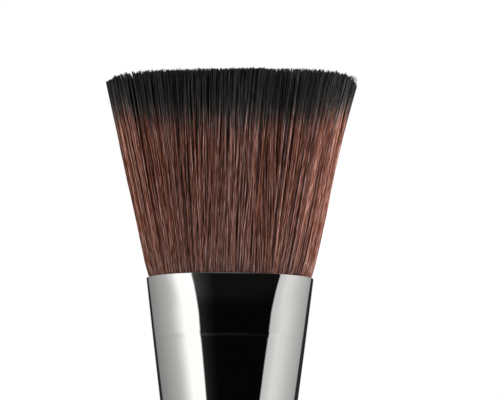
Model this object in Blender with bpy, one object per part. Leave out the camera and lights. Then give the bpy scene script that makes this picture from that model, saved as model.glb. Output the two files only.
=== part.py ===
# A flat blush brush, standing on the end of its handle.
# The hair spreads from a metal ferrule that is pressed flat at its mouth and round
# where it grips the handle. Its width runs along X and its thickness along Y.

import math
import random

import bmesh
import bpy

# Handle
HANDLE_LENGTH = 0.106
HANDLE_SWELL_DIAMETER = 0.0140
HANDLE_END_DIAMETER = 0.0100
HANDLE_END_FILLET = 0.0012
SHOULDER_FILLET = 0.0003
TENON_LENGTH = 0.013
TENON_CHAMFER = 0.0008

# Ferrule
FERRULE_LENGTH = 0.039
FERRULE_WALL = 0.0004
COLLAR_DIAMETER = 0.0128
COLLAR_LENGTH = 0.008
CRIMP_PITCH = 0.003
CRIMP_WIDTH = 0.0014
CRIMP_DEPTH = 0.00045
MOUTH_WIDTH = 0.0206
MOUTH_THICKNESS = 0.0098
PRESSED_THICKNESS = 0.0113
PINCHED_LENGTH = 0.005
PRESSED_LENGTH = 0.0075

# Hair
HAIR_LENGTH = 0.0251
HAIR_WIDTH = 0.0312
HAIR_THICKNESS = 0.0130
DYED_LENGTH = 0.0058
CORNER_DROP = 0.0013
FACE_DROP = 0.0010
TIP_SCATTER = 0.0003

# What holds the hair and the handle inside the ferrule
ROOT_DEPTH = 0.010
SLICE_HEIGHT = 0.004
THREAD_DIAMETER = 0.0005
THREAD_GAP = 0.00045
PLUG_HEIGHT = 0.002
PLUG_FILLET = 0.0004
GLUE_THICKNESS = 0.0006
GLUE_CAP = 0.001
CLEARANCE = 0.0003

# Counts
SIDES = 40
FILLET_STEPS = 3
HANDLE_STEPS = 14
CRIMPS = 2
ROWS = 7
LINE_STRANDS = 33
THREAD_TURNS = 3
TURN_POINTS = 24
SEED = 11

# Shares of the sizes that they follow
SWELL_PLACE_SHARE = 0.80
LIP_SHARE = 0.15
PRESS_CURVE_SHARE = 0.7
FILL_SHARE = 0.93
SPREAD_SHARE = 1.05
STRAND_SHARES = (0.82, 0.82, 0.42)
WANDER_SHARES = (0.0, 0.03, 0.12)

# Heights above the ferrule's lower edge, where the handle's shoulder seats
ROOT_HEIGHT = FERRULE_LENGTH - ROOT_DEPTH
FOOT_HEIGHT = ROOT_HEIGHT - SLICE_HEIGHT
PLUG_BASE = FOOT_HEIGHT - CLEARANCE - PLUG_HEIGHT
GLUE_BASE = COLLAR_LENGTH + CLEARANCE
TENON_TOP = TENON_LENGTH - CLEARANCE
THREAD_PITCH = THREAD_DIAMETER + THREAD_GAP


def clear_scene():
    for old in list(bpy.data.objects):
        bpy.data.objects.remove(old)


def ease(share):
    """A soft start and a soft end between 0 and 1."""
    return (1 - math.cos(math.pi * share)) / 2


def mix(first, last, share):
    return first + (last - first) * share


def steps(first, last, count):
    """Evenly spaced values from the first to the last."""
    return [mix(first, last, step / count) for step in range(count + 1)]


def make_material(name, colour, roughness, metallic=0.0):
    made = bpy.data.materials.new(name)
    made.use_nodes = True
    made.diffuse_color = (*colour, 1.0)
    shader = made.node_tree.nodes["Principled BSDF"]
    shader.inputs["Base Color"].default_value = (*colour, 1.0)
    shader.inputs["Roughness"].default_value = roughness
    shader.inputs["Metallic"].default_value = metallic
    return made


def make_object(name, mesh, height, materials):
    """Turns a bmesh into a named, smooth-shaded object that stands at a height on the axis."""
    data = bpy.data.meshes.new(name)
    mesh.to_mesh(data)
    mesh.free()
    data.shade_smooth()
    data.set_sharp_from_angle(angle=math.radians(32))
    for made in materials:
        data.materials.append(made)
    made_object = bpy.data.objects.new(name, data)
    bpy.context.scene.collection.objects.link(made_object)
    made_object.location.z = height
    return made_object


def ring(half_width, half_thickness, height):
    """Points round an ellipse, square to the axis."""
    turns = [2 * math.pi * side / SIDES for side in range(SIDES)]
    return [(half_width * math.cos(turn), half_thickness * math.sin(turn), height) for turn in turns]


def loft(rings, closed=False):
    """Skins a run of rings. The ends are capped, or joined to each other when closed."""
    mesh = bmesh.new()
    loops = [[mesh.verts.new(point) for point in points] for points in rings]
    pairs = list(zip(loops, loops[1:]))
    if closed:
        pairs.append((loops[-1], loops[0]))
    else:
        mesh.faces.new(list(reversed(loops[0])))
        mesh.faces.new(loops[-1])
    for lower, upper in pairs:
        for side in range(SIDES):
            after = (side + 1) % SIDES
            mesh.faces.new((lower[side], lower[after], upper[after], upper[side]))
    return mesh


# Shape of the ferrule, by height above its lower edge
def crimp_middles():
    """The crimps lie evenly about the middle of the collar."""
    first = (COLLAR_LENGTH - (CRIMPS - 1) * CRIMP_PITCH) / 2
    return [first + crimp * CRIMP_PITCH for crimp in range(CRIMPS)]


def crimp_heights(count):
    """Heights at which the crimps are drawn, with a number of steps across each groove."""
    return [
        middle + offset
        for middle in crimp_middles()
        for offset in steps(-CRIMP_WIDTH / 2, CRIMP_WIDTH / 2, count)
    ]


def collar_radius(height):
    """Outer radius of the round collar, which each crimp draws in as a soft groove."""
    radius = COLLAR_DIAMETER / 2
    for middle in crimp_middles():
        away = min(abs(height - middle) / (CRIMP_WIDTH / 2), 1)
        radius -= CRIMP_DEPTH * (1 - ease(away))
    return radius


def ferrule_half_width(height):
    """A straight flare, from the round collar to the wide mouth."""
    share = (height - COLLAR_LENGTH) / (FERRULE_LENGTH - COLLAR_LENGTH)
    return mix(COLLAR_DIAMETER, MOUTH_WIDTH, share) / 2


def ferrule_half_thickness(height):
    """Flattened towards the mouth, with a press line and then a pinched lip."""
    depth = FERRULE_LENGTH - height
    if depth < PINCHED_LENGTH:
        share = math.sin(math.pi / 2 * depth / PINCHED_LENGTH)
        return mix(MOUTH_THICKNESS, PRESSED_THICKNESS, share) / 2
    if depth < PRESSED_LENGTH:
        return PRESSED_THICKNESS / 2
    share = (depth - PRESSED_LENGTH) / (FERRULE_LENGTH - COLLAR_LENGTH - PRESSED_LENGTH)
    return mix(PRESSED_THICKNESS, COLLAR_DIAMETER, share**PRESS_CURVE_SHARE) / 2


def ferrule_ring(height, inset, base=0.0):
    """A ring of the ferrule's outline, moved inwards by an inset and counted from a base height."""
    if height <= COLLAR_LENGTH:
        radius = collar_radius(height) - inset
        return ring(radius, radius, height - base)
    half_width = ferrule_half_width(height) - inset
    half_thickness = ferrule_half_thickness(height) - inset
    return ring(half_width, half_thickness, height - base)


# Handle: turned wood, with a tenon that the collar is crimped onto
def handle_radius(height):
    """A slim end that swells below the ferrule and draws in again to meet it."""
    end = HANDLE_END_DIAMETER / 2
    swell = HANDLE_SWELL_DIAMETER / 2
    shoulder = COLLAR_DIAMETER / 2
    share = height / HANDLE_LENGTH
    if share < SWELL_PLACE_SHARE:
        return mix(end, swell, ease(share / SWELL_PLACE_SHARE))
    return mix(swell, shoulder, ease((share - SWELL_PLACE_SHARE) / (1 - SWELL_PLACE_SHARE)))


def tip_radius():
    """The tenon above the collar, with room round it for the glue."""
    return COLLAR_DIAMETER / 2 - FERRULE_WALL - 2 * CLEARANCE - GLUE_THICKNESS


def handle_profile():
    """Pairs of radius and height, from the flat end up to the top of the tenon."""
    turns = steps(0, math.pi / 2, FILLET_STEPS)
    foot = handle_radius(HANDLE_END_FILLET) - HANDLE_END_FILLET
    neck_height = HANDLE_LENGTH - SHOULDER_FILLET
    neck = handle_radius(neck_height) - SHOULDER_FILLET
    seat = HANDLE_LENGTH + CLEARANCE
    profile = [
        (foot + HANDLE_END_FILLET * math.sin(turn), HANDLE_END_FILLET * (1 - math.cos(turn)))
        for turn in turns
    ]
    profile += [
        (handle_radius(height), height)
        for height in steps(HANDLE_END_FILLET, neck_height, HANDLE_STEPS)[1:-1]
    ]
    profile += [
        (neck + SHOULDER_FILLET * math.cos(turn), neck_height + SHOULDER_FILLET * math.sin(turn))
        for turn in turns
    ]
    inset = FERRULE_WALL + CLEARANCE
    profile.append((COLLAR_DIAMETER / 2 - inset, HANDLE_LENGTH))
    profile += [(collar_radius(height) - inset, seat + height) for height in crimp_heights(4)]
    profile.append((COLLAR_DIAMETER / 2 - inset, seat + COLLAR_LENGTH))
    profile.append((tip_radius(), seat + COLLAR_LENGTH))
    profile.append((tip_radius(), seat + TENON_TOP - TENON_CHAMFER))
    profile.append((tip_radius() - TENON_CHAMFER, seat + TENON_TOP))
    return profile


def make_handle():
    lacquer = make_material("black_lacquer", (0.006, 0.006, 0.007), 0.12)
    rings = [ring(radius, radius, height) for radius, height in handle_profile()]
    return make_object("handle", loft(rings), 0.0, [lacquer])


# Ferrule: one skin up the outside, over the lip, down the inside and round the lower edge
def lip(height, direction):
    """Rings of a half-round edge as pairs of height and inset, from the outside to the inside."""
    half = FERRULE_WALL / 2
    corner = half * (1 - math.sqrt(1 / 2))
    near = height - direction * corner
    far = height - direction * half
    return [
        (far, 0.0),
        (near, LIP_SHARE * FERRULE_WALL),
        (height, half),
        (near, (1 - LIP_SHARE) * FERRULE_WALL),
        (far, FERRULE_WALL),
    ]


def make_ferrule():
    nickel = make_material("polished_nickel", (0.86, 0.85, 0.82), 0.06, metallic=1.0)
    press_line = FERRULE_LENGTH - PRESSED_LENGTH
    pinch = FERRULE_LENGTH - PINCHED_LENGTH
    flare = steps(COLLAR_LENGTH, press_line, 6)
    close_to_line = mix(flare[-2], press_line, 0.75)
    bent = steps(pinch, FERRULE_LENGTH - FERRULE_WALL / 2, 4)
    outside = crimp_heights(4) + flare[:-1] + [close_to_line, press_line] + bent[:-1]
    inside = crimp_heights(2) + flare[::3] + bent[:-1:2]
    stations = [(height, 0.0) for height in outside]
    stations += lip(FERRULE_LENGTH, 1)
    stations += [(height, FERRULE_WALL) for height in reversed(inside)]
    stations += reversed(lip(0.0, -1))
    rings = [ferrule_ring(height, inset) for height, inset in stations]
    return make_object("ferrule", loft(rings, closed=True), HANDLE_LENGTH + CLEARANCE, [nickel])


# Glue: a cap over the tenon's end, filling the ferrule round it
def make_glue():
    glue = make_material("glue", (0.62, 0.50, 0.30), 0.45)
    bore = tip_radius() + CLEARANCE
    ceiling = TENON_TOP + CLEARANCE
    top = ceiling + GLUE_CAP
    inset = FERRULE_WALL + CLEARANCE
    rings = [ring(bore, bore, ceiling - GLUE_BASE), ring(bore, bore, 0.0)]
    rings += [ferrule_ring(height, inset, GLUE_BASE) for height in steps(GLUE_BASE, top, 3)]
    return make_object("tenon_glue", loft(rings), HANDLE_LENGTH + CLEARANCE + GLUE_BASE, [glue])


# Resin plug: poured under the roots, against the ferrule's wall
def make_plug():
    resin = make_material("resin", (0.36, 0.22, 0.10), 0.30)
    inset = FERRULE_WALL + CLEARANCE
    top = PLUG_BASE + PLUG_HEIGHT
    rings = [
        ferrule_ring(PLUG_BASE, inset + PLUG_FILLET, PLUG_BASE),
        ferrule_ring(PLUG_BASE + PLUG_FILLET, inset, PLUG_BASE),
        ferrule_ring(top, inset, PLUG_BASE),
    ]
    return make_object("resin_plug", loft(rings), HANDLE_LENGTH + CLEARANCE + PLUG_BASE, [resin])


# Hair: a fan, whose rows and strands keep their places in an ellipse that widens upwards
def root_halves():
    """Half width and half thickness of the bound roots, with room round them for the thread."""
    room = FERRULE_WALL + 2 * CLEARANCE + THREAD_DIAMETER
    return ferrule_half_width(FOOT_HEIGHT) - room, ferrule_half_thickness(FOOT_HEIGHT) - room


def mouth_halves():
    room = FERRULE_WALL + CLEARANCE
    return ferrule_half_width(FERRULE_LENGTH) - room, ferrule_half_thickness(FERRULE_LENGTH) - room


def fan_halves(height):
    """Half width and half thickness of the fan at a height above the ferrule's lower edge.

    The strands end in slim tips inside their cells, so the fan is a little wider than the hair.
    """
    if height < FERRULE_LENGTH:
        first = root_halves()
        last = mouth_halves()
        share = max(height - ROOT_HEIGHT, 0) / ROOT_DEPTH
    else:
        first = mouth_halves()
        last = (SPREAD_SHARE * HAIR_WIDTH / 2, SPREAD_SHARE * HAIR_THICKNESS / 2)
        share = (height - FERRULE_LENGTH) / HAIR_LENGTH
    return mix(first[0], last[0], share), mix(first[1], last[1], share)


def row_middle(row):
    """Where a row's middle plane lies, from -1 on one face of the tuft to 1 on the other."""
    return FILL_SHARE * ((2 * row + 1) / ROWS - 1)


def fan_point(row, place, height):
    """Where a place in the unit ellipse lies, with its row drawn in to keep clear of the next."""
    half_width, half_thickness = fan_halves(height)
    pitch = 2 * FILL_SHARE / ROWS * half_thickness
    middle = row_middle(row)
    through = middle + (place[1] - middle) * (1 - CLEARANCE / pitch)
    return place[0] * half_width, through * half_thickness, height - FOOT_HEIGHT


def tip_height(place, chance):
    """The tips form a nearly straight line that drops at its corners and towards both faces."""
    corner = CORNER_DROP * place[0] ** 4
    face = FACE_DROP * place[1] ** 2
    return FERRULE_LENGTH + HAIR_LENGTH - corner - face - TIP_SCATTER * chance


def row_plan(row):
    """A row's corners in the unit ellipse, the triangles between them and the outline round them."""
    low = row_middle(row) - FILL_SHARE / ROWS
    high = row_middle(row) + FILL_SHARE / ROWS
    low_reach = math.sqrt(1 - low**2)
    high_reach = math.sqrt(1 - high**2)
    count = round(LINE_STRANDS * (low_reach + high_reach) / 2)
    corners = [(low_reach * (2 * k / count - 1), low) for k in range(count + 1)]
    corners += [(high_reach * ((2 * k + 1) / count - 1), high) for k in range(count)]
    second = count + 1
    cells = [(k, k + 1, second + k) for k in range(count)]
    cells += [(second + k + 1, second + k, k + 1) for k in range(count - 1)]
    outline = list(range(second)) + list(range(2 * count, count, -1))
    return corners, cells, outline


def middle_of(cell):
    return [sum(corner[axis] for corner in cell) / len(cell) for axis in (0, 1)]


def strand_ring(cell, share, lean):
    """A triangle inside its own cell, so that no strand ever crosses another."""
    centre = middle_of(cell)
    shift = [sum(part * corner[axis] for part, corner in zip(lean, cell)) for axis in (0, 1)]
    return [
        [centre[axis] + shift[axis] + share * (corner[axis] - centre[axis]) for axis in (0, 1)]
        for corner in cell
    ]


def side_faces(lower, upper, order):
    """Two triangles for each side. Neighbours split the side between them along the same line,
    which the order of its corners gives, so that their walls lie side by side."""
    faces = []
    for side in range(len(order)):
        after = (side + 1) % len(order)
        if order[side] < order[after]:
            faces.append((lower[side], lower[after], upper[after]))
            faces.append((lower[side], upper[after], upper[side]))
        else:
            faces.append((lower[side], lower[after], upper[side]))
            faces.append((lower[after], upper[after], upper[side]))
    return faces


def add_strand(mesh, row, foot, cell, order, chance):
    """Grows one three-sided strand from the slice's top to its dyed tip."""
    pull = [chance.uniform(-1, 1) for _ in cell]
    pull = [part - sum(pull) / len(pull) for part in pull]
    dye_line = FERRULE_LENGTH + HAIR_LENGTH - DYED_LENGTH
    heights = (FERRULE_LENGTH, dye_line, tip_height(middle_of(cell), chance.uniform(0, 1)))
    below = foot
    for height, share, wander in zip(heights, STRAND_SHARES, WANDER_SHARES):
        places = strand_ring(cell, share, [wander * part for part in pull])
        above = [mesh.verts.new(fan_point(row, place, height)) for place in places]
        for face in side_faces(below, above, order):
            mesh.faces.new(face).material_index = int(height > dye_line)
        below = above
    mesh.faces.new(below).material_index = 1


def make_row(row, materials, chance):
    """One row of strands, fused to the slice of resin that holds their roots."""
    corners, cells, outline = row_plan(row)
    mesh = bmesh.new()
    bottom = [mesh.verts.new(fan_point(row, place, FOOT_HEIGHT)) for place in corners]
    top = [mesh.verts.new(fan_point(row, place, ROOT_HEIGHT)) for place in corners]
    for here, after in zip(outline, outline[1:] + outline[:1]):
        mesh.faces.new((bottom[here], bottom[after], top[after], top[here]))
    for cell in cells:
        mesh.faces.new([bottom[corner] for corner in reversed(cell)])
        foot = [top[corner] for corner in cell]
        add_strand(mesh, row, foot, [corners[corner] for corner in cell], cell, chance)
    name = f"bristle_row_{row + 1}"
    return make_object(name, mesh, HANDLE_LENGTH + CLEARANCE + FOOT_HEIGHT, materials)


def make_hair():
    brown = make_material("brown_hair", (0.115, 0.055, 0.042), 0.45)
    black = make_material("dyed_tips", (0.013, 0.012, 0.013), 0.40)
    chance = random.Random(SEED)
    return [make_row(row, [brown, black], chance) for row in range(ROWS)]


# Thread: binds the roots in one unbroken winding, at half height on the resin slices
def thread_points():
    half_width, half_thickness = [half + CLEARANCE + THREAD_DIAMETER / 2 for half in root_halves()]
    start = (SLICE_HEIGHT - THREAD_TURNS * THREAD_PITCH) / 2
    points = []
    for step in range(THREAD_TURNS * TURN_POINTS + 1):
        turn = 2 * math.pi * step / TURN_POINTS
        climb = start + THREAD_PITCH * step / TURN_POINTS
        points.append((half_width * math.cos(turn), half_thickness * math.sin(turn), climb))
    return points


def least_gap(points):
    """The least gap between the surfaces of two turns, measured on the winding's points."""
    return min(
        math.dist(points[first], points[second]) - THREAD_DIAMETER
        for first in range(len(points))
        for second in range(first + TURN_POINTS // 2, len(points))
    )


def make_thread():
    points = thread_points()
    print(f"root_thread: least gap to itself {least_gap(points):.6f} m")
    curve = bpy.data.curves.new("root_thread", "CURVE")
    curve.dimensions = "3D"
    curve.bevel_depth = THREAD_DIAMETER / 2
    curve.bevel_resolution = 1
    curve.use_fill_caps = True
    spline = curve.splines.new("POLY")
    spline.points.add(len(points) - 1)
    for knot, point in zip(spline.points, points):
        knot.co = (*point, 1.0)
    curve.materials.append(make_material("thread", (0.55, 0.50, 0.42), 0.8))
    made = bpy.data.objects.new("root_thread", curve)
    bpy.context.scene.collection.objects.link(made)
    made.location.z = HANDLE_LENGTH + CLEARANCE + FOOT_HEIGHT
    return made


def make_brush():
    clear_scene()
    brush = bpy.data.objects.new("brush", None)
    bpy.context.scene.collection.objects.link(brush)
    pieces = [make_handle(), make_ferrule(), make_glue(), make_plug(), make_thread()]
    for piece in pieces + make_hair():
        piece.parent = brush


make_brush()
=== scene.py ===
import math

import bpy
import numpy as np
from mathutils.kdtree import KDTree
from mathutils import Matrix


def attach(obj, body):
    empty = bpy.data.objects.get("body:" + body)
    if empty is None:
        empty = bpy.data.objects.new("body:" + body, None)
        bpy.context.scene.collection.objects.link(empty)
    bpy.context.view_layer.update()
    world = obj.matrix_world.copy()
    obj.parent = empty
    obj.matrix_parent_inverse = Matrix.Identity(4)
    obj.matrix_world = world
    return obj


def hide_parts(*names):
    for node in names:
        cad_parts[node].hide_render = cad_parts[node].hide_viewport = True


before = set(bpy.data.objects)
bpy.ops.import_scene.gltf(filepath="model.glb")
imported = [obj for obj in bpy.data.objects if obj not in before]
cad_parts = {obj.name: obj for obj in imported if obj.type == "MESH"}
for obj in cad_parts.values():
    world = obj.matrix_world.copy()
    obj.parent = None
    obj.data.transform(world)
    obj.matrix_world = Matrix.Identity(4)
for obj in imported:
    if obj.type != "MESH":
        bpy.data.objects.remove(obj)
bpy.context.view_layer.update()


# Handle. Beech, turned on a lathe to a slim end and a full swell, dipped in black gloss
# lacquer and hung up to dry. The lacquer stops at the shoulder: the tenon above it is bare
# wood, grooved where the collar is crimped onto it.
handle_length = 0.106
swell_diameter = 0.0140
swell_place_share = 0.8
slim_end_diameter = 0.0100
end_fillet = 0.0012
shoulder_fillet = 0.0003
collar_diameter = 0.0128
collar_length = 0.008
crimp_heights = (0.0025, 0.0055)
crimp_width = 0.0014
crimp_depth = 0.00045
sheet_thickness = 0.0004
fitting_gap = 0.0003
glue_thickness = 0.0006
tenon_length = 0.0127
tenon_chamfer = 0.0008
shoulder_height = handle_length + fitting_gap
lacquer_top = handle_length - 0.00005


def eased(share):
    """A soft start and a soft end between 0 and 1."""
    return (1 - np.cos(np.pi * np.clip(share, 0, 1))) / 2


def between(first, last, share):
    """A value that goes evenly from the first to the last."""
    return first + (last - first) * share


def oval(half_width, half_thickness, height, sides=144):
    """Points round an ellipse that lies square to the brush."""
    turns = np.arange(sides) * 2 * math.pi / sides
    return np.stack(
        [half_width * np.cos(turns), half_thickness * np.sin(turns), np.full(sides, height)], axis=1
    )


def smooth_piece(name, points, faces, finishes, sharp_angle=40):
    """Makes the mesh of one piece, in place in the brush, smooth but for its sharp edges."""
    mesh = bpy.data.meshes.new(name)
    mesh.from_pydata(points, [], faces)
    mesh.shade_smooth()
    mesh.set_sharp_from_angle(angle=math.radians(sharp_angle))
    for finish in finishes:
        mesh.materials.append(finish)
    piece = bpy.data.objects.new(name, mesh)
    bpy.context.scene.collection.objects.link(piece)
    return piece


def skin(rings, closed=False):
    """Joins a stack of rings into one skin, with its ends capped or joined to each other."""
    sides = len(rings[0])
    here = np.arange(sides)
    after = (here + 1) % sides
    faces = []
    for level in range(len(rings) if closed else len(rings) - 1):
        low = level * sides
        high = (level + 1) % len(rings) * sides
        corners = [low + here, low + after, high + after, high + here]
        faces += np.stack(corners, axis=1).tolist()
    if not closed:
        faces.append(here[::-1].tolist())
        faces.append(((len(rings) - 1) * sides + here).tolist())
    return np.concatenate(rings).tolist(), faces


def collar_radius(height):
    """Outer radius of the round collar, drawn in at each crimp."""
    radius = np.full_like(np.asarray(height, float), collar_diameter / 2)
    for crimp in crimp_heights:
        radius -= crimp_depth * (1 - eased(np.abs(height - crimp) / (crimp_width / 2)))
    return radius


def handle_profile():
    """Pairs of radius and height up the turned handle, from its end to the top of the tenon."""
    turns = np.linspace(0, math.pi / 2, 12)
    heights = np.linspace(end_fillet, handle_length - shoulder_fillet, 150)
    share = heights / handle_length
    past_swell = (share - swell_place_share) / (1 - swell_place_share)
    radii = np.where(
        share < swell_place_share,
        between(slim_end_diameter, swell_diameter, eased(share / swell_place_share)),
        between(swell_diameter, collar_diameter, eased(past_swell)),
    ) / 2
    profile = [
        (radii[0] - end_fillet * (1 - math.sin(turn)), end_fillet * (1 - math.cos(turn)))
        for turn in turns
    ]
    profile += list(zip(radii[1:], heights[1:]))
    for turn in turns[1:]:
        radius = collar_diameter / 2 - shoulder_fillet * (1 - math.cos(turn))
        profile.append((radius, handle_length - shoulder_fillet * (1 - math.sin(turn))))
    grooves = np.linspace(0, collar_length, 60)
    inside = collar_radius(grooves) - sheet_thickness - fitting_gap
    tenon_radius = collar_diameter / 2 - sheet_thickness - 2 * fitting_gap - glue_thickness
    profile.append((inside[0], handle_length))
    profile += list(zip(inside, shoulder_height + grooves))
    profile.append((tenon_radius, shoulder_height + collar_length))
    profile.append((tenon_radius, shoulder_height + tenon_length - tenon_chamfer))
    profile.append((tenon_radius - tenon_chamfer, shoulder_height + tenon_length))
    return profile


def start_finish(name):
    """A new material, with the tree and the shader that its nodes go to."""
    made = bpy.data.materials.new(name)
    made.use_nodes = True
    return made, made.node_tree, made.node_tree.nodes["Principled BSDF"]


def put(tree, kind, sockets=None, **settings):
    """Adds a node with its settings. Each socket gets a value, or the output of another node."""
    node = tree.nodes.new("ShaderNode" + kind)
    for key, value in settings.items():
        setattr(node, key, value)
    for key, value in (sockets or {}).items():
        if isinstance(value, bpy.types.NodeSocket):
            tree.links.new(value, node.inputs[key])
        else:
            node.inputs[key].default_value = value
    return node


def maths(tree, operation, *values):
    """One sum, worked out from values or from the outputs of other nodes."""
    return put(tree, "Math", dict(enumerate(values)), operation=operation).outputs[0]


def colour_between(tree, share, first, last):
    """One colour turning into another."""
    made = put(tree, "Mix", {0: share, 6: first, 7: last}, data_type="RGBA")
    return made.outputs[2]


def stepped(tree, value, low, high, first=0.0, last=1.0):
    """A value that goes smoothly from the first to the last between two limits."""
    sockets = {0: value, 1: low, 2: high, 3: first, 4: last}
    return put(tree, "MapRange", sockets, interpolation_type="SMOOTHSTEP").outputs[0]


def stretched_noise(tree, stretch, detail=3.0, roughness=0.55):
    """Noise in the brush's own metres, with its own scale along each axis."""
    place = put(tree, "TexCoord").outputs["Object"]
    scaled = put(tree, "Mapping", {"Vector": place, "Scale": stretch}).outputs[0]
    sockets = {"Vector": scaled, "Scale": 1.0, "Detail": detail, "Roughness": roughness}
    return put(tree, "TexNoise", sockets).outputs[0]


def along_brush(tree):
    """The height of a point above the handle's end."""
    place = put(tree, "TexCoord").outputs["Object"]
    return put(tree, "SeparateXYZ", {0: place}).outputs[2]


def bumps(tree, shader, height, distance):
    """Shades the surface as if a height of 1 raised it by the distance in metres."""
    made = put(tree, "Bump", {"Height": height, "Distance": distance, "Strength": 1.0})
    tree.links.new(made.outputs[0], shader.inputs["Normal"])


lacquer, tree, shader = start_finish("black_gloss_lacquer")
smudges = stretched_noise(tree, (160, 160, 90))
pores = stretched_noise(tree, (5200, 5200, 240), detail=2.0)
end_wear = stepped(tree, along_brush(tree), 0.0, 0.0016, 1.0, 0.0)
worn_through = stepped(tree, maths(tree, "MULTIPLY", end_wear, pores), 0.52, 0.66)
tint = colour_between(tree, smudges, (0.004, 0.004, 0.005, 1), (0.009, 0.008, 0.008, 1))
shade = colour_between(tree, worn_through, tint, (0.06, 0.03, 0.014, 1))
tree.links.new(shade, shader.inputs["Base Color"])
tree.links.new(stepped(tree, smudges, 0.35, 0.75, 0.10, 0.22), shader.inputs["Roughness"])
shader.inputs["Coat Weight"].default_value = 1.0
shader.inputs["Coat Roughness"].default_value = 0.03
bumps(tree, shader, pores, 0.000012)

bare_wood, tree, shader = start_finish("bare_beech")
fleck = stretched_noise(tree, (3800, 3800, 420), detail=4.0)
rings_of_growth = stretched_noise(tree, (900, 260, 14), detail=2.0)
pale = colour_between(tree, rings_of_growth, (0.46, 0.27, 0.13, 1), (0.60, 0.40, 0.22, 1))
darker = colour_between(tree, stepped(tree, fleck, 0.55, 0.7), pale, (0.27, 0.14, 0.06, 1))
tree.links.new(darker, shader.inputs["Base Color"])
tree.links.new(stepped(tree, fleck, 0.3, 0.7, 0.6, 0.8), shader.inputs["Roughness"])
bumps(tree, shader, fleck, 0.00004)

profile = handle_profile()
points, faces = skin([oval(radius, radius, height) for radius, height in profile])
handle = smooth_piece("handle_turned", points, faces, [lacquer, bare_wood])
for face in handle.data.polygons:
    face.material_index = int(face.center.z > lacquer_top)
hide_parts("handle")
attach(handle, "root")


# Glue. Yellowish wood glue, brushed round the tenon and squeezed out in a cap over its end
# when the ferrule was pushed on. It set inside the ferrule, cloudy and with small bubbles.
def cast_finish(name, clear, cloudy, roughness):
    """Material that set in place: cloudy patches and small bubbles under a rippled skin."""
    made, tree, shader = start_finish(name)
    clouds = stretched_noise(tree, (420, 420, 420), detail=4.0)
    cloud_share = stepped(tree, clouds, 0.3, 0.7)
    place = put(tree, "TexCoord").outputs["Object"]
    cells = put(tree, "TexVoronoi", {"Vector": place, "Scale": 2600.0}).outputs[0]
    bubbles = stepped(tree, cells, 0.10, 0.22, 1.0, 0.0)
    body = colour_between(tree, cloud_share, clear, cloudy)
    tree.links.new(colour_between(tree, bubbles, body, cloudy), shader.inputs["Base Color"])
    tree.links.new(stepped(tree, clouds, 0.3, 0.7, *roughness), shader.inputs["Roughness"])
    bumps(tree, shader, maths(tree, "SUBTRACT", clouds, bubbles), 0.00006)
    return made


set_glue = cast_finish("set_glue", (0.55, 0.41, 0.20, 1), (0.70, 0.60, 0.40, 1), (0.35, 0.6))
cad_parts["tenon_glue"].data.materials[0] = set_glue


# Resin plug. Amber casting resin, poured in behind the roots of the hair, where it set and
# closed the foot of the tuft. The same resin holds the roots of each row of hair.
resin = cast_finish("poured_resin", (0.30, 0.16, 0.06, 1), (0.44, 0.29, 0.15, 1), (0.2, 0.4))
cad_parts["resin_plug"].data.materials[0] = resin


# Ferrule. A tube drawn from thin brass sheet, flared and pressed flat towards the mouth so
# that it leaves a press line under a pinched lip, nickel plated and polished, and rolled
# onto the handle with two crimps.
ferrule_length = 0.039
mouth_width = 0.0206
mouth_thickness = 0.0098
pressed_thickness = 0.0113
pinched_length = 0.005
pressed_length = 0.0077
press_ridge = 0.000056
press_ridge_width = 0.0008
press_curve = 0.7
flare_bow = 0.07
edge_radius = 0.00003


def flare_half_width(height):
    """The flare bows out a little on its way up from the collar to the mouth."""
    share = (height - collar_length) / (ferrule_length - collar_length)
    return between(collar_diameter, mouth_width, share + flare_bow * share * (1 - share)) / 2


def flare_half_thickness(height):
    """Curved from the collar to the low ridge of the press line, then flat, then pinched."""
    depth = ferrule_length - height
    if depth < pinched_length:
        pinch = math.sin(math.pi / 2 * depth / pinched_length)
        return between(mouth_thickness, pressed_thickness, pinch) / 2
    share = max(depth - pressed_length, 0) / (ferrule_length - collar_length - pressed_length)
    onto_ridge = eased((depth - pressed_length) / press_ridge_width + 0.5)
    ridge = press_ridge * onto_ridge * (1 - share) ** 6
    return between(pressed_thickness, collar_diameter, share**press_curve) / 2 + ridge


def ferrule_ring(height, inset):
    """A ring of the ferrule, counted from its lower edge and moved in from the outside."""
    if height <= collar_length:
        radius = float(collar_radius(height)) - inset
        return oval(radius, radius, shoulder_height + height)
    half_width = flare_half_width(height) - inset
    return oval(half_width, flare_half_thickness(height) - inset, shoulder_height + height)


# The rings go up the outside, over the lip, down the inside and round the lower edge. They
# are close together at the crimps, at the press line and at both edges.
under_ridge = ferrule_length - pressed_length - press_ridge_width / 2
over_ridge = under_ridge + press_ridge_width
up = list(np.linspace(edge_radius, collar_length, 70))
up += list(np.linspace(collar_length, under_ridge, 40))[1:]
up += list(np.linspace(under_ridge, over_ridge, 21))[1:]
up += list(np.linspace(over_ridge, ferrule_length - edge_radius, 44))[1:]
roll = np.linspace(0, math.pi / 2, 7)[1:]
round_off = [(edge_radius * math.sin(turn), edge_radius * (1 - math.cos(turn))) for turn in roll]
over_lip = [(ferrule_length - edge_radius + rise, inset) for rise, inset in round_off]
under_edge = [(edge_radius - rise, inset) for rise, inset in round_off]
stations = [(height, 0.0) for height in up] + over_lip
stations += [(height, sheet_thickness - inset) for height, inset in over_lip[::-1]]
stations += [(height, sheet_thickness) for height in up[::-2]]
stations += [(height, sheet_thickness - inset) for height, inset in under_edge]
stations += under_edge[::-1]
points, faces = skin([ferrule_ring(*station) for station in stations], closed=True)

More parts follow.
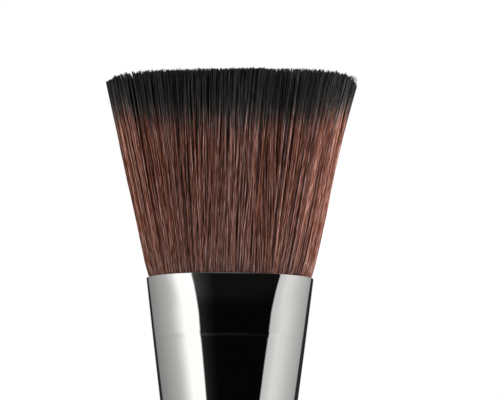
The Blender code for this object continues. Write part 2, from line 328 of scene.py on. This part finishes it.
nickel, tree, shader = start_finish("polished_nickel_plate")
haze = stretched_noise(tree, (220, 220, 120))
polish_lines = stretched_noise(tree, (9000, 9000, 260), detail=2.0)
plate = colour_between(tree, haze, (0.88, 0.87, 0.85, 1), (0.84, 0.82, 0.79, 1))
tree.links.new(plate, shader.inputs["Base Color"])
tree.links.new(stepped(tree, haze, 0.35, 0.75, 0.022, 0.045), shader.inputs["Roughness"])
shader.inputs["Metallic"].default_value = 1.0
bumps(tree, shader, polish_lines, 0.0000003)
ferrule = smooth_piece("ferrule_plated", points, faces, [nickel])
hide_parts("ferrule")
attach(ferrule, "root")


# Thread. Three twisted plies of undyed cotton, wound three times round the roots of the
# hair and pulled tight before the tuft went into the ferrule.
thread_diameter = 0.0005
thread_turns = 3
thread_pitch = 0.00095
ply_count = 3
ply_radius = 0.232 * thread_diameter
twist_length = 0.0017
root_depth = 0.010
slice_height = 0.004
root_height = ferrule_length - root_depth
foot_height = root_height - slice_height
room_for_thread = sheet_thickness + 2 * fitting_gap + thread_diameter
root_half_width = flare_half_width(foot_height) - room_for_thread
root_half_thickness = flare_half_thickness(foot_height) - room_for_thread


def twisted_thread():
    """Tubes for the plies, which twist round the middle line of the winding."""
    steps_per_turn = 260
    sides = 8
    travel = np.linspace(0, thread_turns, thread_turns * steps_per_turn + 1)
    wide = root_half_width + fitting_gap + thread_diameter / 2
    thick = root_half_thickness + fitting_gap + thread_diameter / 2
    angle = 2 * math.pi * travel
    rise = (slice_height - thread_turns * thread_pitch) / 2 + thread_pitch * travel
    middle = np.stack(
        [wide * np.cos(angle), thick * np.sin(angle), shoulder_height + foot_height + rise], axis=1
    )
    outwards = np.stack(
        [np.cos(angle) / wide, np.sin(angle) / thick, np.zeros_like(angle)], axis=1
    )
    outwards /= np.linalg.norm(outwards, axis=1, keepdims=True)
    upwards = np.array([0.0, 0.0, 1.0])
    run = np.concatenate([[0], np.cumsum(np.linalg.norm(np.diff(middle, axis=0), axis=1))])
    spin = np.arange(sides)[:, None] * 2 * math.pi / sides
    points, faces = [], []
    for ply in range(ply_count):
        twist = 2 * math.pi * (run / twist_length + ply / ply_count)[:, None]
        off_middle = thread_diameter / 2 - ply_radius
        core = middle + off_middle * (np.cos(twist) * outwards + np.sin(twist) * upwards)
        rings = [
            here + ply_radius * (np.cos(spin) * outward + np.sin(spin) * upwards)
            for here, outward in zip(core, outwards)
        ]
        more_points, more_faces = skin(rings)
        faces += [[corner + len(points) for corner in face] for face in more_faces]
        points += more_points
    return points, faces


cotton, tree, shader = start_finish("undyed_cotton")
lint = stretched_noise(tree, (14000, 14000, 14000), detail=4.0)
soiled = stretched_noise(tree, (500, 500, 500))
yarn = colour_between(tree, lint, (0.42, 0.36, 0.27, 1), (0.68, 0.62, 0.51, 1))
resined = colour_between(tree, stepped(tree, soiled, 0.45, 0.7), yarn, (0.36, 0.25, 0.14, 1))
tree.links.new(resined, shader.inputs["Base Color"])
tree.links.new(stepped(tree, soiled, 0.4, 0.7, 0.85, 0.55), shader.inputs["Roughness"])
shader.inputs["Sheen Weight"].default_value = 0.3
bumps(tree, shader, lint, 0.00002)
thread = smooth_piece("root_thread_twisted", *twisted_thread(), [cotton], sharp_angle=60)
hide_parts("root_thread")
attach(thread, "root")


# Hair. Thousands of brown synthetic filaments, drawn to fine tips and dyed black at the tips
# after the tuft was shaped. Their roots are cast into seven slices of resin, one behind the
# other, and above the ferrule they fan out, lean and cling together in thin wisps.
hair_length = 0.0257
dyed_length = 0.0059
filament_radius = 0.000054
filament_count = 14500
wisp_count = 7000
lock_count = 2200
row_count = 7
rows_reach = 0.93
mouth_height = shoulder_height + ferrule_length
mouth_half_width = 0.0097
mouth_half_thickness = 0.00443
room_in_mouth = np.array([0.00985, mouth_half_thickness])
fan_slope = 0.2255
thickening_slope = 0.068
lip_bulge_across = 0.00044
lip_bulge_through = 0.00035
lip_bulge_height = 0.00025
share_alone = 0.14
corner_round = 0.0009
right_corner_round = 0.0007
face_round = 0.0006
right_end_rise = 0.00025
tip_taper = 0.0030
wisp_lean = 0.034
combed_strokes = ((-0.28, 0.32, 0.100), (0.40, 0.14, -0.110), (0.72, 0.15, 0.065))
chance = np.random.default_rng(12)


def spread_in_disc(count, looseness):
    """Places spread over the unit disc, a little closer near its edge and each a little off."""
    order = np.arange(count) + 0.5
    reach = (order / count) ** 0.47
    turn = order * math.pi * (3 - math.sqrt(5))
    places = np.stack([reach * np.cos(turn), reach * np.sin(turn)], axis=1)
    places += chance.normal(0, looseness / math.sqrt(count), places.shape)
    too_far = np.maximum(np.linalg.norm(places, axis=1, keepdims=True), 1)
    return places / too_far


def fan_halves(height):
    """Half width and half thickness of the hair at a height above the ferrule's mouth."""
    root_share = np.clip(1 + height / root_depth, 0, 1)
    bulge = 1 - np.exp(-np.clip(height, 0, None) / lip_bulge_height)
    half_width = np.where(
        height < 0,
        between(root_half_width, mouth_half_width, root_share),
        mouth_half_width + lip_bulge_across * bulge + fan_slope * height,
    )
    half_thickness = np.where(
        height < 0,
        between(root_half_thickness, mouth_half_thickness, root_share),
        mouth_half_thickness + lip_bulge_through * bulge + thickening_slope * height,
    )
    return half_width, half_thickness


def closest(places, middles):
    """Which of the middles each place is closest to."""
    finder = KDTree(len(middles))
    for number, (across, through) in enumerate(middles):
        finder.insert((across, through, 0), number)
    finder.balance()
    return np.array([finder.find((across, through, 0))[1] for across, through in places])


def combed(across):
    """The slope that combing left: the left half leans in, and right of the middle it parts."""
    slope = np.zeros_like(across)
    for place, reach, steepest in combed_strokes:
        slope += steepest * np.exp(-(((across - place) / reach) ** 2))
    return slope


# Two filaments or so cling together in a wisp, and three wisps in a lock. One filament in
# seven stays by itself. How deep each lies under the tuft's skin is taken in the mouth.
roots = spread_in_disc(filament_count, 0.35)
wisp_roots = spread_in_disc(wisp_count, 0.30)
lock_roots = spread_in_disc(lock_count, 0.50)
wisp = closest(roots * room_in_mouth, wisp_roots * room_in_mouth)
lock = closest(wisp_roots * room_in_mouth, lock_roots * room_in_mouth)[wisp]
clings = (chance.random(filament_count) > share_alone).astype(float)
wisp_pull = chance.uniform(0.7, 0.97, wisp_count)[wisp] * clings
root_across, root_through = roots.T
root_reach = np.linalg.norm(roots, axis=1)
under_skin = (1 - root_reach) * root_reach / np.linalg.norm(roots / room_in_mouth, axis=1)

# The tips stand in a shallow dome with rounded corners, and no two end quite alike. The
# first two stations of a filament are down in its slice of resin and just under the mouth.
tip_across = root_across + combed(root_across) * hair_length / fan_halves(hair_length)[0]
tip_across = np.clip(tip_across, -1, 1)
right_side = np.clip(tip_across, 0, 1)
corner_drop = corner_round * np.abs(tip_across) ** 5
right_corner_drop = right_corner_round * right_side**12
face_drop = face_round * root_through**2
uneven = chance.uniform(-0.00004, 0.00006, lock_count)[lock]
uneven += chance.uniform(-0.00011, 0.00014, wisp_count)[wisp]
uneven += np.abs(chance.normal(0, 0.00005, filament_count))
length = hair_length + right_end_rise * tip_across - corner_drop - right_corner_drop
length -= face_drop + uneven
buried = np.array([-0.0103, -0.0004])
station_shares = np.array([0.016, 0.08, 0.19, 0.33, 0.48, 0.63, 0.76, 0.87, 0.94, 1.0])
heights = np.concatenate(
    [np.tile(buried, (filament_count, 1)), station_shares * length[:, None]], axis=1
)
above_mouth = np.clip(heights, 0, None)
close_to_tip = np.clip(1 - (length[:, None] - above_mouth) / tip_taper, 0, 1)


def clinging_places():
    """Where each filament runs in the fan: drawn to its wisp, and near the tip to its lock."""
    inner = np.clip((1 - root_reach) / 0.16, 0.05, 1)
    tip_pull = 0.25 * close_to_tip**1.5 * clings[:, None]
    pull_in_lock = (tip_pull * inner[:, None])[:, :, None]
    pull_in_wisp = wisp_pull[:, None] * between(0.65, 1.0, eased(above_mouth / 0.009))
    pull_in_wisp += (1 - pull_in_wisp) * tip_pull
    wisp_middles = wisp_roots[wisp][:, None, :]
    wisp_places = between(wisp_middles, lock_roots[lock][:, None, :], pull_in_lock)
    own_places = roots[:, None, :] + wisp_places - wisp_middles
    return between(own_places, wisp_places, pull_in_wisp[:, :, None])


def waves(shortest, longest, group, group_count):
    """Slow waves along the hair, the same for all the filaments of a group."""
    wave_length = chance.uniform(shortest, longest, group_count)[group]
    start = chance.uniform(0, 2 * math.pi, (group_count, 2))[group]
    turn = 2 * math.pi * heights[:, :, None] / wave_length[:, None, None]
    return np.sin(turn + start[:, None, :])


def swaying():
    """How far the waves of its lock, its wisp and its own take each filament off its line."""
    sway = 0.00003 * waves(0.016, 0.030, lock, lock_count)
    sway += 0.00002 * waves(0.010, 0.022, wisp, wisp_count)
    own_size = np.abs(chance.normal(0, 0.000012, filament_count)) + 0.00004 * (1 - clings)
    own_waves = waves(0.009, 0.022, np.arange(filament_count), filament_count)
    sway += own_size[:, None, None] * own_waves
    return sway * eased(above_mouth / 0.006)[:, :, None]


def leaning():
    """The slope of each filament: its wisp's own, less near the sides, and the combed one."""
    lean = chance.normal(0, wisp_lean, (wisp_count, 2))[wisp]
    lean[:, 0] += (1 - clings) * chance.normal(0, 0.04, filament_count)
    lean[:, 0] *= eased((1 - np.abs(root_across)) / 0.3)
    lean[:, 0] += combed(root_across)
    most_lean = 1.3 * under_skin / hair_length
    lean[:, 1] = np.clip(0.5 * lean[:, 1], -most_lean, most_lean)
    return lean


# A filament that leans against the tuft's skin follows the skin, and the right side of the
# fan is drawn in a little half-way up.
halves = np.stack(fan_halves(heights), axis=2)
sway = swaying()
places = clinging_places() + leaning()[:, None, :] * above_mouth[:, :, None] / halves
places /= np.maximum(np.linalg.norm(places, axis=2, keepdims=True), 1)
lines = places * (halves - filament_radius) + sway
drawn_in = 0.0003 * np.clip(root_across, 0, 1) ** 2
lines[:, :, 0] -= drawn_in[:, None] * np.sin(math.pi * (above_mouth / hair_length) ** 1.7)
middle = np.concatenate([lines, mouth_height + heights[:, :, None]], axis=2)
radius = filament_radius * between(1.0, 0.75, close_to_tip**1.6)
radius = radius * chance.uniform(0.85, 1.15, (filament_count, 1))

# Filaments differ in tone more than their wisps do. Few are much lighter than the rest. A tenth are
# painted dark, as painted shade for the gaps between others, and those deep under the skin get
# painted shade too.
lightest = 0.2
tone_and_painted_shade = 0.4 * chance.normal(0, 1, wisp_count)[wisp] + 1.3 * chance.normal(0, 1, filament_count)
tone_and_painted_shade = np.where(tone_and_painted_shade > lightest, lightest + 0.25 * (tone_and_painted_shade - lightest), tone_and_painted_shade) + 0.5
# Painted shade: dark wisps and filaments for the shaded gaps, and darker filaments under the skin.
tone_and_painted_shade -= 9 * (chance.random(wisp_count) < 0.02)[wisp]
tone_and_painted_shade -= 9 * (chance.random(filament_count) < 0.09)
tone_and_painted_shade -= 2.5 * eased((under_skin - 0.0001) / 0.0003)


def differing(locks, wisps, filaments):
    """How each filament differs, from how much locks, wisps and filaments differ."""
    by_lock = locks * chance.normal(0, 1, lock_count)[lock]
    by_wisp = wisps * chance.normal(0, 1, wisp_count)[wisp]
    return by_lock + by_wisp + filaments * chance.normal(0, 1, filament_count)


# The dye crept up each filament to its own height, and higher at the corners. Every filament also
# has its own brown, painted lighter and more orange towards both sides as painted light from the
# side lamps, and its own line through the painted glints.
hue_and_painted_side_light = np.clip(0.43 + 0.18 * root_across**2 + differing(0.07, 0.11, 0.07), 0.2, 0.72)
dye_end = hair_length - dyed_length + 1.8 * corner_drop + 0.8 * right_corner_drop - face_drop
dye_end -= 0.0006 * right_side**4 + differing(0.0002, 0.0005, 0.0005)
below_dye = dye_end[:, None] - heights
strand = chance.uniform(0, 900, filament_count)
rows = ((root_through / rows_reach + 1) / 2 * row_count).astype(int)
rows = np.clip(rows, 0, row_count - 1)


def filament_mesh(middle, radius):
    """Three-sided filaments with smooth sides: their points, side faces and tip faces."""
    count, stations = radius.shape
    spin = np.arange(3) * 2 * math.pi / 3
    start = chance.uniform(0, 2 * math.pi, (count, 1, 1))
    turn = start + spin[None, None, :]
    points = np.repeat(middle[:, :, None, :], 3, axis=2)
    points[..., 0] += radius[:, :, None] * np.cos(turn)
    points[..., 1] += radius[:, :, None] * np.sin(turn)
    index = np.arange(count * stations * 3).reshape(count, stations, 3)
    low, high = index[:, :-1, :], index[:, 1:, :]
    sides = np.stack([low, np.roll(low, -1, axis=2), np.roll(high, -1, axis=2), high], axis=3)
    return points.reshape(-1, 3), sides.reshape(-1, 4), index[:, -1, :].reshape(-1, 3)


def strip_map(middle):
    """Room for each filament on a flat map: an upright strip with its three sides in a row.

    The strips stand on shelves, and a band above the last shelf is left for the slice of resin.
    """
    count, stations = middle.shape[:2]
    shelves = 6
    top_shelf = 0.94
    columns = -(-count // shelves)
    shelf, column = np.divmod(np.arange(count), columns)
    heights = middle[:, :, 2]
    share = (heights - heights[:, :1]) / (heights[:, -1:] - heights[:, :1])
    up = (shelf[:, None] + 0.02 + 0.93 * share) / shelves * top_shelf
    across = (column[:, None] + 0.08 + 0.84 * np.arange(4) / 3) / columns
    sides = np.empty((count, stations - 1, 3, 4, 2))
    sides[..., [0, 3], 0] = across[:, None, :3, None]
    sides[..., [1, 2], 0] = across[:, None, 1:, None]
    sides[..., [0, 1], 1] = up[:, :-1, None, None]
    sides[..., [2, 3], 1] = up[:, 1:, None, None]
    tips = np.empty((count, 3, 2))
    tips[..., 0] = across[:, [0, 3, 1]]
    tips[..., 1] = up[:, -1:] + np.array([0.0, 0.0, 0.03]) / shelves
    return np.concatenate([sides.reshape(-1, 2), tips.reshape(-1, 2)])


def slice_mesh(row):
    """The slice of resin that holds one row's roots, with a gap to the next slice."""
    step = 2 * rows_reach / row_count
    low = row * step - rows_reach
    across = np.linspace(low, low + step, 9)
    reach = np.sqrt(1 - across**2)
    slice_middle = low + step / 2
    solid_share = 1 - fitting_gap / (step * root_half_thickness)
    through = slice_middle + (across - slice_middle) * solid_share
    right = np.stack([reach, through], axis=1)
    left = np.stack([-reach, through], axis=1)[::-1]
    outline = np.concatenate([right, left]) * np.array([root_half_width, root_half_thickness])
    rings = [
        np.column_stack([outline, np.full(len(outline), shoulder_height + height)])
        for height in (foot_height, root_height)
    ]
    return skin(rings)


def colours_along(tree, value, stops):
    """A colour for each value, from pairs of value and colour."""
    made = put(tree, "ValToRGB", {"Fac": value})
    elements = made.color_ramp.elements
    while len(elements) > 1:
        elements.remove(elements[-1])
    for place, colour in stops:
        elements.new(place).color = colour
    elements.remove(elements[0])
    return made.outputs[0]


def of_filament(tree, name):
    """A value that the mesh of the hair holds for each of its points."""
    return put(tree, "Attribute", attribute_name=name).outputs["Fac"]


# Along a filament, the value undyed is how far a point lies below the end of its dye.
fibre, tree, shader = start_finish("dyed_filament")
undyed = of_filament(tree, "undyed")
browns = colours_along(tree, of_filament(tree, "hue_and_painted_side_light"), (
    (0.12, (0.165, 0.092, 0.080, 1)),
    (0.5, (0.235, 0.098, 0.075, 1)),
    (0.88, (0.325, 0.131, 0.076, 1)),
))
# Painted shade: near the mouth, where the hair crowds into the ferrule, the browns are painted
# darker and less red.
painted_mouth_shade_factor = {0: browns, 1: (0.83, 0.92, 0.98)}
painted_mouth_shade = put(tree, "VectorMath", painted_mouth_shade_factor, operation="MULTIPLY").outputs[0]
brown = colour_between(tree, stepped(tree, undyed, 0.0140, 0.0196), browns, painted_mouth_shade)
half_dyed = stepped(tree, undyed, -0.0008, 0.0026)
grey_brown = colour_between(tree, half_dyed, (0.086, 0.065, 0.060, 1), brown)
hardly_dyed = stepped(tree, undyed, -0.0024, 0.0009)
dyed = colour_between(tree, hardly_dyed, (0.0240, 0.0231, 0.0240, 1), grey_brown)
# Painted highlights: glints painted into the base colour, which come and go along each filament.
along_strand = maths(tree, "MULTIPLY", undyed, 600.0)
spot = put(tree, "CombineXYZ", {0: of_filament(tree, "strand"), 1: along_strand}).outputs[0]
glints = put(tree, "TexNoise", {"Vector": spot, "Scale": 1.0, "Detail": 1.0}).outputs[0]
glint = stepped(tree, glints, 0.30, 0.70, 0.52, 1.50)
# The tone holds random tone and painted shade, and towards the roots it counts for less.
contrast = stepped(tree, undyed, 0.009, 0.0196, 1.0, 0.3)
tone_and_painted_shade_here = maths(tree, "MULTIPLY", of_filament(tree, "tone_and_painted_shade"), contrast)
light_or_dark = maths(tree, "POWER", 1.28, tone_and_painted_shade_here)
level = maths(tree, "MULTIPLY", light_or_dark, glint)
# Brighter filaments are painted paler, as a painted highlight, and darker ones richer, as painted
# shade.
richness = stepped(tree, level, 0.3, 1.7, 1.3, 0.80)
tinted = {"Saturation": richness, "Value": level, "Color": dyed}
tree.links.new(put(tree, "HueSaturation", tinted).outputs[0], shader.inputs["Base Color"])
tree.links.new(stepped(tree, undyed, -0.001, 0.001, 0.38, 0.46), shader.inputs["Roughness"])
shader.inputs["Specular IOR Level"].default_value = 0.5
bumps(tree, shader, stretched_noise(tree, (12000, 12000, 1100), detail=2.0), 0.000008)

for row in range(row_count):
    own = rows == row
    points, sides, tips = filament_mesh(middle[own], radius[own])
    slab_points, slab_faces = slice_mesh(row)
    faces = sides.tolist() + tips.tolist()
    slab_faces = [[corner + len(points) for corner in face] for face in slab_faces]
    points = points.tolist()
    whole = (points + slab_points, faces + slab_faces)
    hair_row = smooth_piece(f"hair_row_{row + 1}", *whole, [fibre, resin], sharp_angle=180)
    mesh = hair_row.data
    for face in mesh.polygons[len(faces):]:
        face.material_index = 1
        face.use_smooth = False
    slab = np.array(slab_points)
    slab_share = (slab - slab.min(axis=0)) / (slab.max(axis=0) - slab.min(axis=0))
    slab_up = between(0.955, 0.995, (slab_share[:, 1] + slab_share[:, 2]) / 2)
    slab_map = np.stack([slab_share[:, 0], slab_up], axis=1)
    slab_corners = np.concatenate(slab_faces) - len(points)
    flat_map = np.concatenate([strip_map(middle[own]), slab_map[slab_corners]])
    mesh.uv_layers.new(name="OFBake").data.foreach_set("uv", flat_map.reshape(-1))
    of_slab = np.zeros(len(slab_points))
    stations = radius.shape[1]
    for name, values in (
        ("tone_and_painted_shade", np.repeat(tone_and_painted_shade[own], stations * 3)),
        ("hue_and_painted_side_light", np.repeat(hue_and_painted_side_light[own], stations * 3)),
        ("strand", np.repeat(strand[own], stations * 3)),
        ("undyed", np.repeat(below_dye[own].reshape(-1), 3)),
    ):
        held = mesh.attributes.new(name, "FLOAT", "POINT")
        held.data.foreach_set("value", np.concatenate([values, of_slab]))
    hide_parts(f"bristle_row_{row + 1}")
    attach(hair_row, "root")


# Studio. A pale floor that turns pure white away from the brush, a white background, broad
# side panels with a dark front between them, which the plated ferrule mirrors, and soft
# lamps at both sides, in front and behind the right side.
floor_reach = 40.0
floor_mesh = bpy.data.meshes.new("studio_floor")
floor_corners = [(-1, -1), (1, -1), (1, 1), (-1, 1)]
floor_mesh.from_pydata(
    [(floor_reach * x, floor_reach * y, 0) for x, y in floor_corners], [], [(0, 1, 2, 3)]
)
floor = bpy.data.objects.new("studio_floor", floor_mesh)
bpy.context.scene.collection.objects.link(floor)
paper, tree, shader = start_finish("white_paper")
shader.inputs["Base Color"].default_value = (0.82, 0.82, 0.82, 1)
shader.inputs["Roughness"].default_value = 0.9
shader.inputs["Specular IOR Level"].default_value = 0.1
place = put(tree, "NewGeometry").outputs["Position"]
far = put(tree, "VectorMath", {0: place}, operation="LENGTH").outputs["Value"]
path = put(tree, "LightPath").outputs
seen = maths(tree, "MULTIPLY", stepped(tree, far, 0.10, 0.42), path["Is Camera Ray"])
mirrored = maths(tree, "MULTIPLY", stepped(tree, far, 0.02, 0.14), path["Is Glossy Ray"])
white = put(tree, "Emission", {"Color": (1, 1, 1, 1), "Strength": 1.0}).outputs[0]
clear = put(tree, "BsdfTransparent").outputs[0]
with_white = put(tree, "MixShader", {0: seen, 1: shader.outputs[0], 2: white}).outputs[0]
with_clear = put(tree, "MixShader", {0: mirrored, 1: with_white, 2: clear}).outputs[0]
tree.links.new(with_clear, tree.nodes["Material Output"].inputs["Surface"])
floor_mesh.materials.append(paper)

# The panels all round the brush. Each pair is an angle from the front, counted to the right,
# and the brightness there.
panels = (
    (-180, 0.35), (-173, 0.35), (-170, 0.02), (-139, 0.02), (-134, 0.22), (-111, 0.25),
    (-98, 0.29), (-85.5, 0.34), (-75.5, 0.39), (-66.5, 0.475), (-59, 0.64), (-51, 0.86),
    (-45, 0.99), (-28.1, 0.99), (-27.6, 0.018), (-24, 0.012), (-19, 0.0055), (-12, 0.0015),
    (38.4, 0.0015), (38.9, 0.50), (48, 0.57), (57, 0.665), (68, 0.625), (78, 0.54),
    (92, 0.45), (113, 0.37), (127, 0.33), (131, 0.02), (170, 0.02), (173, 0.35), (180, 0.35),
)
panel_tint = np.array([1.17, 1.18, 1.19])
panel_stops = [
    ((angle + 180) / 360, (*(level * panel_tint).tolist(), 1)) for angle, level in panels
]
world = bpy.data.worlds.new("studio")
bpy.context.scene.world = world
world.use_nodes = True
tree = world.node_tree
tree.nodes.clear()
way = put(tree, "TexCoord").outputs["Generated"]
rightwards, backwards, upwards = put(tree, "SeparateXYZ", {0: way}).outputs


def by_elevation(low, high, first=0.0, last=1.0):
    """A level that goes from the first to the last as a ray rises between two angles."""
    low, high = math.sin(math.radians(low)), math.sin(math.radians(high))
    return stepped(tree, upwards, low, high, first, last)


# The panels lean. Higher up, the edges of those at the sides stand nearer the front, and the
# edges of those in front stand further round.
compass = maths(tree, "ARCTAN2", rightwards, maths(tree, "MULTIPLY", backwards, -1.0))
turned = maths(tree, "ABSOLUTE", compass)
front_end, side_start = math.radians(41), math.radians(56)
front_lean = stepped(tree, turned, front_end, side_start, -0.215, 0.0)
side_lean = stepped(tree, turned, front_end, side_start, 0.0, 0.32)
low_part = maths(tree, "MINIMUM", upwards, 0.26)
lean = maths(tree, "MULTIPLY_ADD", low_part, side_lean, 1.0)
lean = maths(tree, "MULTIPLY_ADD", upwards, front_lean, lean)
leaned = maths(tree, "MULTIPLY", compass, lean)
whole_round = {0: leaned, 1: -math.pi, 2: math.pi, 3: 0.0, 4: 1.0}
round_share = put(tree, "MapRange", whole_round).outputs[0]
panel_light = colours_along(tree, round_share, panel_stops)

# Higher up, the dark panels get a little lighter. The ceiling is grey and dark overhead.
dark = {0: panel_light, 1: (0.02, 0.02, 0.02)}
dark_part = put(tree, "VectorMath", dark, operation="MINIMUM").outputs[0]
risen = {0: dark_part, "Scale": by_elevation(13, 30, 0.0, 2.2)}
glow = put(tree, "VectorMath", risen, operation="SCALE").outputs[0]
glowing = put(tree, "VectorMath", {0: panel_light, 1: glow}, operation="ADD").outputs[0]
mirrored = colour_between(tree, by_elevation(36, 52), glowing, by_elevation(56, 70, 0.32, 0.05))
path = put(tree, "LightPath").outputs
glossy = put(tree, "Background", {"Color": mirrored, "Strength": 1.0}).outputs[0]
diffuse = put(tree, "Background", {"Color": (1, 1, 1, 1), "Strength": 0.20}).outputs[0]
backdrop = put(tree, "Background", {"Color": (1, 1, 1, 1), "Strength": 1.0}).outputs[0]
seen = maths(tree, "MAXIMUM", path["Is Camera Ray"], path["Is Transmission Ray"])
lit = put(tree, "MixShader", {0: path["Is Glossy Ray"], 1: diffuse, 2: glossy}).outputs[0]
both = put(tree, "MixShader", {0: seen, 1: lit, 2: backdrop}).outputs[0]
tree.links.new(both, put(tree, "OutputWorld").inputs["Surface"])

tuft_middle = np.array([0.0, 0.0, mouth_height + 0.008])


def looking_at(made, spot, azimuth, elevation, distance, roll=0.0):
    """Stands a lamp or the camera at a distance from a spot and turns it there."""
    turn, lift = math.radians(azimuth), math.radians(elevation)
    back = np.array(
        [math.sin(turn) * math.cos(lift), -math.cos(turn) * math.cos(lift), math.sin(lift)]
    )
    made.location = spot + distance * back
    made.rotation_euler = (math.radians(90 - elevation), 0.0, turn)
    made.rotation_euler.rotate_axis("Z", math.radians(roll))
    bpy.context.scene.collection.objects.link(made)


for name, azimuth, elevation, watts in (
    ("left_softbox", -78, 25, 9.0),
    ("right_softbox", 86, 22, 15.0),
    ("rear_softbox", 120, 22, 4.0),
    ("front_softbox", 46, 25, 2.7),
):
    lamp = bpy.data.lights.new(name, "AREA")
    lamp.shape = "SQUARE"
    lamp.size = 0.5
    lamp.energy = watts
    softbox = bpy.data.objects.new(name, lamp)
    softbox.visible_camera = False
    softbox.visible_glossy = False
    looking_at(softbox, tuft_middle, azimuth, elevation, distance=1.0)

camera_data = bpy.data.cameras.new("camera")
camera_data.sensor_width = 36
camera_data.lens = 408
camera_data.clip_end = 100
camera = bpy.data.objects.new("camera", camera_data)
aim = np.array([0.00239, 0.0, 0.15518])
looking_at(camera, aim, azimuth=0, elevation=-10.2, distance=0.7, roll=0.45)
bpy.context.scene.camera = camera
bpy.context.scene.view_settings.view_transform = "Standard"
